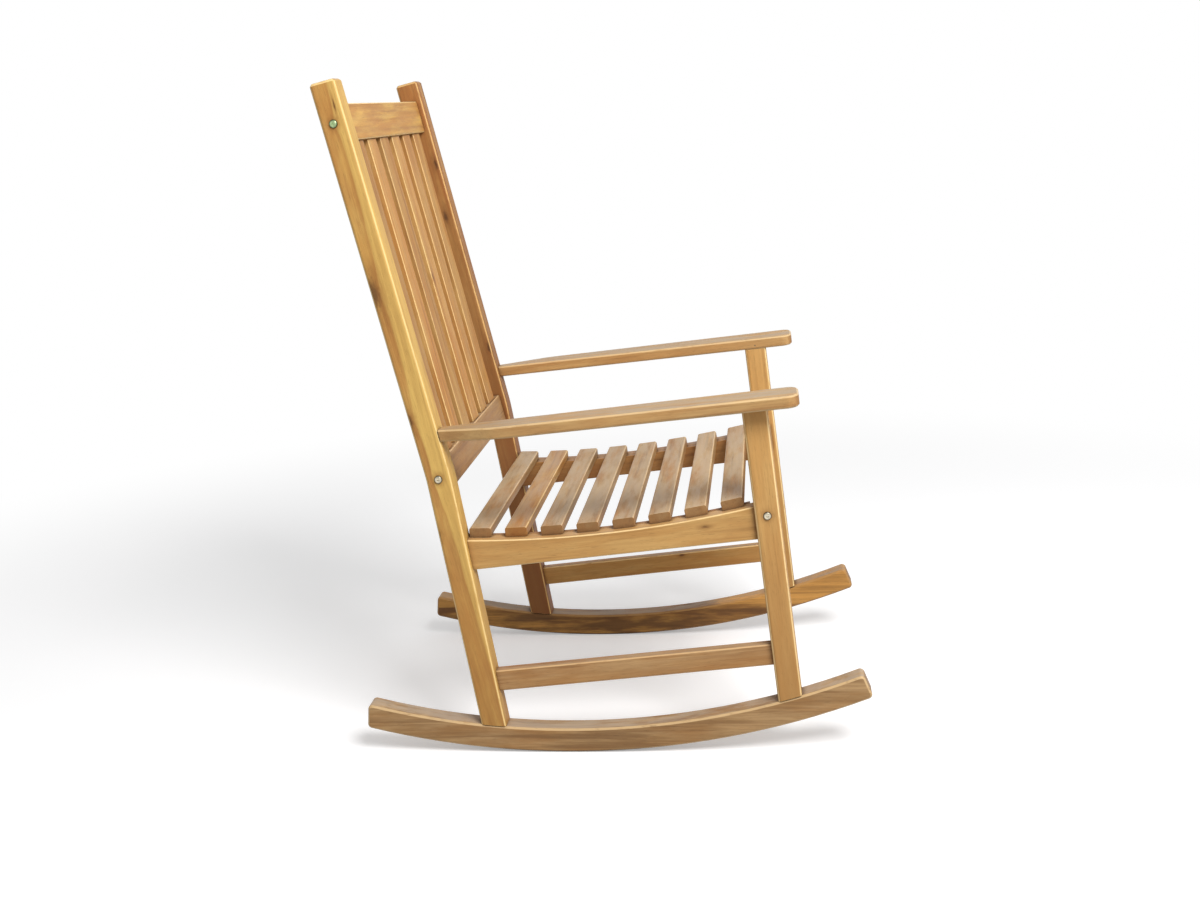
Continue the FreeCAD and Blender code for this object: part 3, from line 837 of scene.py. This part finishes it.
# the warm tint is a painted reflection of the wood around the heads
headPlate = steelMaterial("zincPlate", tint(214, 204, 180), 0.3, bolts["headRadius"])
greenPlate = steelMaterial("greenishZinc", tint(176, 200, 150), 0.3, bolts["headRadius"])
nailSteel = steelMaterial("nailSteel", tint(120, 104, 88), 0.45)


def boltOutlines(length, turns):  # heights and radii from the shank's end over the head into the socket
    rim = bolts["rim"]
    top = bolts["headHeight"]
    flatStart, flatEnd = [share * bolts["socketRadius"] for share in bolts["flatTop"]]
    profile = [
        (-length, bolts["shankRadius"]),
        (0.0, bolts["shankRadius"]),
        (0.0, bolts["headRadius"]),
        (rim, bolts["headRadius"]),
    ]
    for step in range(1, bolts["domeSteps"]):
        angle = math.radians(90 * step / bolts["domeSteps"])
        reach = flatStart + (bolts["headRadius"] - flatStart) * math.cos(angle)
        profile.append((rim + (top - rim) * math.sin(angle), reach))
    profile.append((top, flatEnd))
    outlines = [(height, [radius] * len(turns)) for height, radius in profile]
    half = math.pi / 6  # of a side of the hexagon
    for depth, wide in bolts["socket"]:
        flat = bolts["socketRadius"] * wide * math.cos(half)
        outlines.append((top - depth, [flat / math.cos(turn % (2 * half) - half) for turn in turns]))
    return outlines


def makeBolt(name, place, outward, length, material):
    mesh = bpy.data.meshes.new(name)
    work = bmesh.new()
    sides = bolts["sides"]
    turns = [2 * math.pi * index / sides for index in range(sides)]
    rings = []
    for height, radii in boltOutlines(length, turns):
        points = [(r * math.cos(turn), r * math.sin(turn), height) for r, turn in zip(radii, turns)]
        rings.append([work.verts.new(point) for point in points])
    for first, second in zip(rings, rings[1:]):
        for index in range(sides):
            after = (index + 1) % sides
            work.faces.new((first[index], first[after], second[after], second[index]))
    work.faces.new(list(reversed(rings[0])))
    work.faces.new(rings[-1])
    for face in work.faces:
        face.smooth = len(face.verts) == 4
    work.to_mesh(mesh)
    work.free()
    piece = bpy.data.objects.new(name, mesh)
    bpy.context.scene.collection.objects.link(piece)
    mesh.materials.append(material)
    mesh.set_sharp_from_angle(angle=math.radians(bolts["sharperThan"]))
    piece.matrix_world = Matrix.Translation(place) @ outward.to_track_quat("Z", "Y").to_matrix().to_4x4()
    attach(piece, "root")
    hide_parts("frame_bolts")


shankLength = legOuter - (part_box("square_nuts")[1].x - bolts["nutThickness"])  # flush with the nut
for label in boltRows:
    for side, sign in (("Left", 1), ("Right", -1)):
        plate = greenPlate if label == "topBolt" else headPlate
        makeBolt(label + side, boltPlace(label, sign), Vector((sign, 0, 0)), shankLength, plate)
for nodeName in ("square_nuts", "arm_pins", "seat_nails"):
    for slot in nodes[nodeName].material_slots:
        slot.material = nutPlate if nodeName == "square_nuts" else nailSteel
print("fasteners")


# Floor, light and camera

def seenDirectly(tree):  # by the camera, in a reflection or through something clear
    light = tree.nodes.new("ShaderNodeLightPath")
    seen = mathStep(tree, "MAXIMUM", light.outputs["Is Camera Ray"], light.outputs["Is Glossy Ray"])
    return mathStep(tree, "MAXIMUM", seen, light.outputs["Is Transmission Ray"])


def mixShaders(tree, factor, first, second):
    step = tree.nodes.new("ShaderNodeMixShader")
    for socket, value in zip(step.inputs, (factor, first, second)):
        tree.links.new(value, socket)
    return step.outputs[0]


floorLook = {
    "size": 14.0,
    "drop": 0.0005,
    "bounce": (0.5, 0.5, 0.5, 1),  # colour that the chair is lit by from below
    "roughness": 0.9,
    "paper": (0.84, 0.84, 0.845, 1),  # colour that the camera sees
    "lift": 0.33,  # brings the lit floor to white
    "fade": (1.3, 2.6),  # distance over which it turns plain white
}


def makeFloor():
    mesh = bpy.data.meshes.new("floor")
    work = bmesh.new()
    bmesh.ops.create_grid(work, x_segments=8, y_segments=8, size=floorLook["size"])
    work.to_mesh(mesh)
    work.free()
    floor = bpy.data.objects.new("floor", mesh)
    bpy.context.scene.collection.objects.link(floor)
    floor.location.z = -floorLook["drop"]
    material = bpy.data.materials.new("studioFloor")
    material.use_nodes = True
    tree = material.node_tree
    shader = tree.nodes["Principled BSDF"]
    shader.inputs["Base Color"].default_value = floorLook["bounce"]
    shader.inputs["Roughness"].default_value = floorLook["roughness"]
    shader.inputs["Specular IOR Level"].default_value = 0.0
    lift = tree.nodes.new("ShaderNodeEmission")
    lift.inputs["Strength"].default_value = floorLook["lift"]
    paper = tree.nodes.new("ShaderNodeBsdfDiffuse")
    paper.inputs["Color"].default_value = floorLook["paper"]
    both = tree.nodes.new("ShaderNodeAddShader")
    tree.links.new(paper.outputs[0], both.inputs[0])
    tree.links.new(lift.outputs[0], both.inputs[1])
    white = tree.nodes.new("ShaderNodeEmission")
    seen = seenDirectly(tree)
    place = tree.nodes.new("ShaderNodeTexCoord").outputs["Object"]
    fade = softStep(tree, vectorStep(tree, "LENGTH", place), *floorLook["fade"])
    near = mixShaders(tree, seen, shader.outputs[0], both.outputs[0])
    surface = mixShaders(tree, product(tree, seen, fade), near, white.outputs[0])
    tree.links.new(surface, tree.nodes["Material Output"].inputs["Surface"])
    mesh.materials.append(material)


softLight = 0.4


def makeWorld():
    world = bpy.data.worlds.new("studio")
    bpy.context.scene.world = world
    world.use_nodes = True
    tree = world.node_tree
    soft = tree.nodes["Background"]
    soft.inputs["Strength"].default_value = softLight
    white = tree.nodes.new("ShaderNodeBackground")
    for background in (soft, white):
        background.inputs["Color"].default_value = (1, 1, 1, 1)
    surface = mixShaders(tree, seenDirectly(tree), soft.outputs[0], white.outputs[0])
    tree.links.new(surface, tree.nodes["World Output"].inputs["Surface"])


lamps = {
    "keyPanel": {"place": (-2.2, -1.5, 3.25), "target": (0, 0, 0.5), "size": (1.6, 1.6), "power": 137},
    "frontPanel": {"place": (-0.7, -2.8, 0.9), "target": (0, 0, 0.7), "size": (1.2, 1.6), "power": 9},
}


def makeLamp(name, plan):
    data = bpy.data.lights.new(name, "AREA")
    data.shape = "RECTANGLE"
    data.size, data.size_y = plan["size"]
    data.energy = plan["power"]
    lamp = bpy.data.objects.new(name, data)
    bpy.context.scene.collection.objects.link(lamp)
    lamp.location = plan["place"]
    aim = Vector(plan["target"]) - Vector(plan["place"])
    lamp.rotation_euler = aim.to_track_quat("-Z", "Y").to_euler()


camera = {
    "place": (-2.5885, -0.2788, 1.1062),
    "turn": (76.2855, 2.9823, -83.7643),
    "lens": 42.79,
    "sensor": 36.0,
}


def makeCamera():
    data = bpy.data.cameras.new("photoCamera")
    data.lens = camera["lens"]
    data.sensor_width = camera["sensor"]
    viewer = bpy.data.objects.new("photoCamera", data)
    bpy.context.scene.collection.objects.link(viewer)
    viewer.location = camera["place"]
    viewer.rotation_euler = [math.radians(a) for a in camera["turn"]]
    bpy.context.scene.camera = viewer


makeFloor()
makeWorld()
for name, plan in lamps.items():
    makeLamp(name, plan)
makeCamera()
bpy.context.scene.view_settings.view_transform = "Standard"
print("floor, light and camera")
